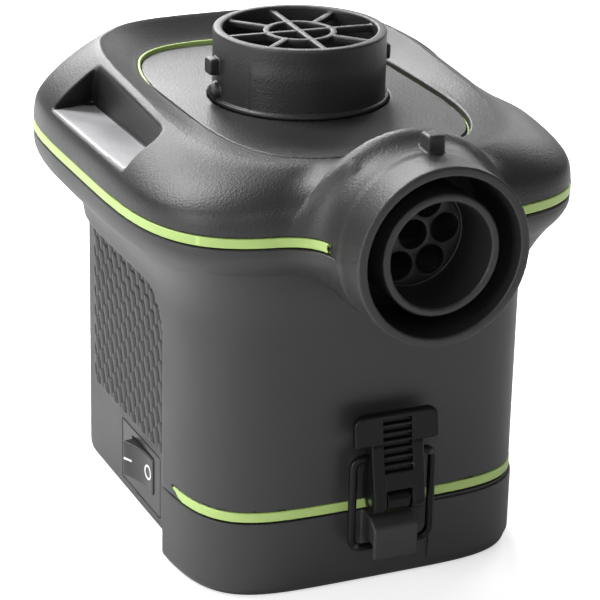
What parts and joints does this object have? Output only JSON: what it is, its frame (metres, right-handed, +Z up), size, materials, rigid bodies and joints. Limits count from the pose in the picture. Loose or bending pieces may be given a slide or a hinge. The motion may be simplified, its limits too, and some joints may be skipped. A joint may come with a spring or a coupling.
{
  "type": "electric air mattress pump",
  "caption": "Battery air mattress pump with a grilled intake collar on top, a front outlet nozzle, hinged battery door, over-centre latch and side rocker switch.",
  "frame": {"origin": "centre of the resting face of the base, on the axis of the intake collar", "axes": "+Z up along the intake axis, -Y out of the outlet nozzle, -X towards the switch side"},
  "size_m": [0.123, 0.1594, 0.136],
  "materials": {
    "head_plastic": "fine grain moulded finish",
    "tower_plastic": "smooth satin moulded finish",
    "green_plastic": "smooth satin lime green",
    "grip_rubber": "textured soft grip",
    "latch_plastic": "satin dark moulded finish",
    "switch_plastic": "satin dark moulded finish",
    "fan_plastic": "plain moulded finish",
    "impeller_plastic": "plain moulded finish",
    "steel": "bright plated",
    "brass": "spring strip",
    "copper": "drawn copper",
    "carbon": "pressed carbon",
    "magnet": "sintered",
    "cell_jacket": "plain printed jacket",
    "wire_red": "extruded sleeve",
    "wire_black": "extruded sleeve"
  },
  "bodies": {
    "case": {"top_cover": "head_plastic", "intake_port": "head_plastic", "label_plate": "head_plastic", "label_trim": "green_plastic", "outlet_tube": "head_plastic", "outlet_guard": "head_plastic", "head_trim": "green_plastic", "main_housing": "tower_plastic", "lower_trim": "green_plastic", "left_grip_pad": "grip_rubber", "right_grip_pad": "grip_rubber", "fan_housing": "fan_plastic", "fan_cover": "fan_plastic", "fan_screws": "steel", "motor_can": "steel", "motor_end_cap": "fan_plastic", "motor_magnets": "magnet", "motor_bushes": "brass", "motor_brushes": "carbon", "motor_screws": "steel", "battery_frame": "tower_plastic", "battery_cells": "cell_jacket", "upper_contacts": "brass", "housing_screws": "steel", "door_hinge_pin": "steel", "latch_bracket": "latch_plastic", "latch_pin": "steel", "switch_body": "switch_plastic", "switch_terminals": "brass", "wire_red": "wire_red", "wire_black": "wire_black"},
    "rotor": {"impeller": "impeller_plastic", "motor_shaft": "steel", "motor_armature": "steel", "motor_commutator": "copper"},
    "door": {"battery_door": "tower_plastic", "door_contacts": "brass", "door_badge": "tower_plastic"},
    "lever": {"latch_lever": "latch_plastic"},
    "bail": {"latch_bail": "latch_plastic"},
    "rocker": {"switch_rocker": "switch_plastic"}
  },
  "joints": [
    {"name": "rotor_spin", "type": "hinge", "parent": "case", "child": "rotor", "pos_m": [0, 0, 0.08], "axis": [0, 0, 1], "continuous": true},
    {"name": "door_hinge", "type": "hinge", "parent": "case", "child": "door", "pos_m": [0, 0.049, 0.0045], "axis": [1, 0, 0], "range_deg": [0, 90]},
    {"name": "latch_lever_pivot", "type": "hinge", "parent": "case", "child": "lever", "pos_m": [0.0018, -0.063, 0.0265], "axis": [1, 0, 0], "range_deg": [0, 100]},
    {"name": "latch_bail_pivot", "type": "hinge", "parent": "lever", "child": "bail", "pos_m": [0.0018, -0.0609, 0.0381], "axis": [1, 0, 0], "range_deg": [-61, 0]},
    {"name": "switch_rocker_pivot", "type": "hinge", "parent": "case", "child": "rocker", "pos_m": [-0.0396, 0.0051, 0.013], "axis": [0, 0, -1], "range_deg": [0, 24]}
  ],
  "couplings": [
    {"joint": "latch_bail_pivot", "follows": "latch_lever_pivot", "ratio": -0.604}
  ]
}
